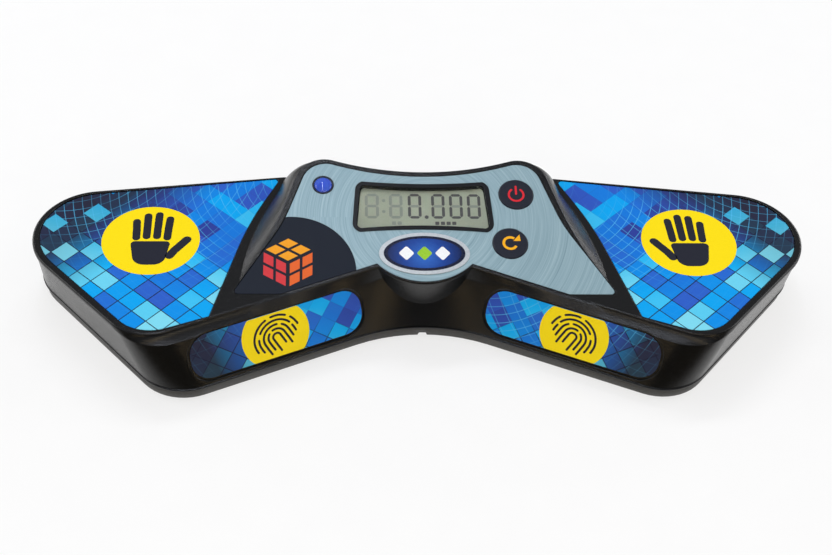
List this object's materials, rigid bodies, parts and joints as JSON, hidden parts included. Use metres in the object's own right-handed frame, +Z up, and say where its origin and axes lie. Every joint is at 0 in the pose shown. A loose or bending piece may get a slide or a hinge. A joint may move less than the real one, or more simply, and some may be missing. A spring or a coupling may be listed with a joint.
{
  "type": "speed cube timer",
  "caption": "Two-handed bench timer for cube solving: swept wings with hand and finger touch pads and a raised tilted console with display, buttons and lamp.",
  "frame": {"origin": "middle of the footprint's box on the resting plane, under the rubber feet", "axes": "+X to the right as the user sees it, +Y away from the user, +Z up"},
  "size_m": [0.2862, 0.0902, 0.0419],
  "materials": {
    "housing_black": "fine textured satin moulding, polished edge bead",
    "housing_grey": "dark grey textured moulding",
    "faceplate": "pale blue grey, circular brushed, printed",
    "bezel": "satin near black",
    "window": "clear acrylic",
    "lcd": "grey green reflective display with dark segments",
    "holder": "natural white moulding",
    "zebra": "striped silicone",
    "board": "green solder mask",
    "button": "dark satin with a printed symbol",
    "switch": "black",
    "lens": "blue translucent dome",
    "led": "water clear",
    "badge": "domed printed badge, plain design",
    "label": "printed blue tile pattern with yellow disc",
    "sensor": "copper foil",
    "jack": "black",
    "cell": "plain wrapped cell",
    "contact": "nickel plated",
    "screw": "zinc plated",
    "feet": "matt black"
  },
  "bodies": {
    "timer": {"upper_housing": "housing_black", "lower_housing": "housing_grey", "console_faceplate": "faceplate", "lcd_bezel": "bezel", "lcd_window": "window", "lcd_panel": "lcd", "lcd_holder": "holder", "lcd_connectors": "zebra", "main_board": "board", "power_switch": "switch", "reset_switch": "switch", "indicator_lens": "lens", "indicator_led": "led", "nose_badge": "badge", "left_hand_label": "label", "right_hand_label": "label", "left_finger_label": "label", "right_finger_label": "label", "left_hand_sensor": "sensor", "right_hand_sensor": "sensor", "left_finger_sensor": "sensor", "right_finger_sensor": "sensor", "data_jack": "jack", "batteries": "cell", "battery_contacts": "contact", "housing_screws": "screw", "board_screws": "screw", "rubber_feet": "feet"},
    "power_key": {"power_button": "button"},
    "reset_key": {"reset_button": "button"},
    "door": {"battery_door": "housing_grey"}
  },
  "joints": [
    {"name": "power_button_press", "type": "slide", "parent": "timer", "child": "power_key", "axis": [0, 0.2504, -0.9681], "range_m": [0, 0.0008], "stiffness_N_per_m": 1200},
    {"name": "reset_button_press", "type": "slide", "parent": "timer", "child": "reset_key", "axis": [0, 0.2504, -0.9681], "range_m": [0, 0.0008], "stiffness_N_per_m": 1200},
    {"name": "battery_door_lift_off", "type": "slide", "parent": "timer", "child": "door", "axis": [0, 0, -1], "range_m": [0, 0.03]}
  ]
}
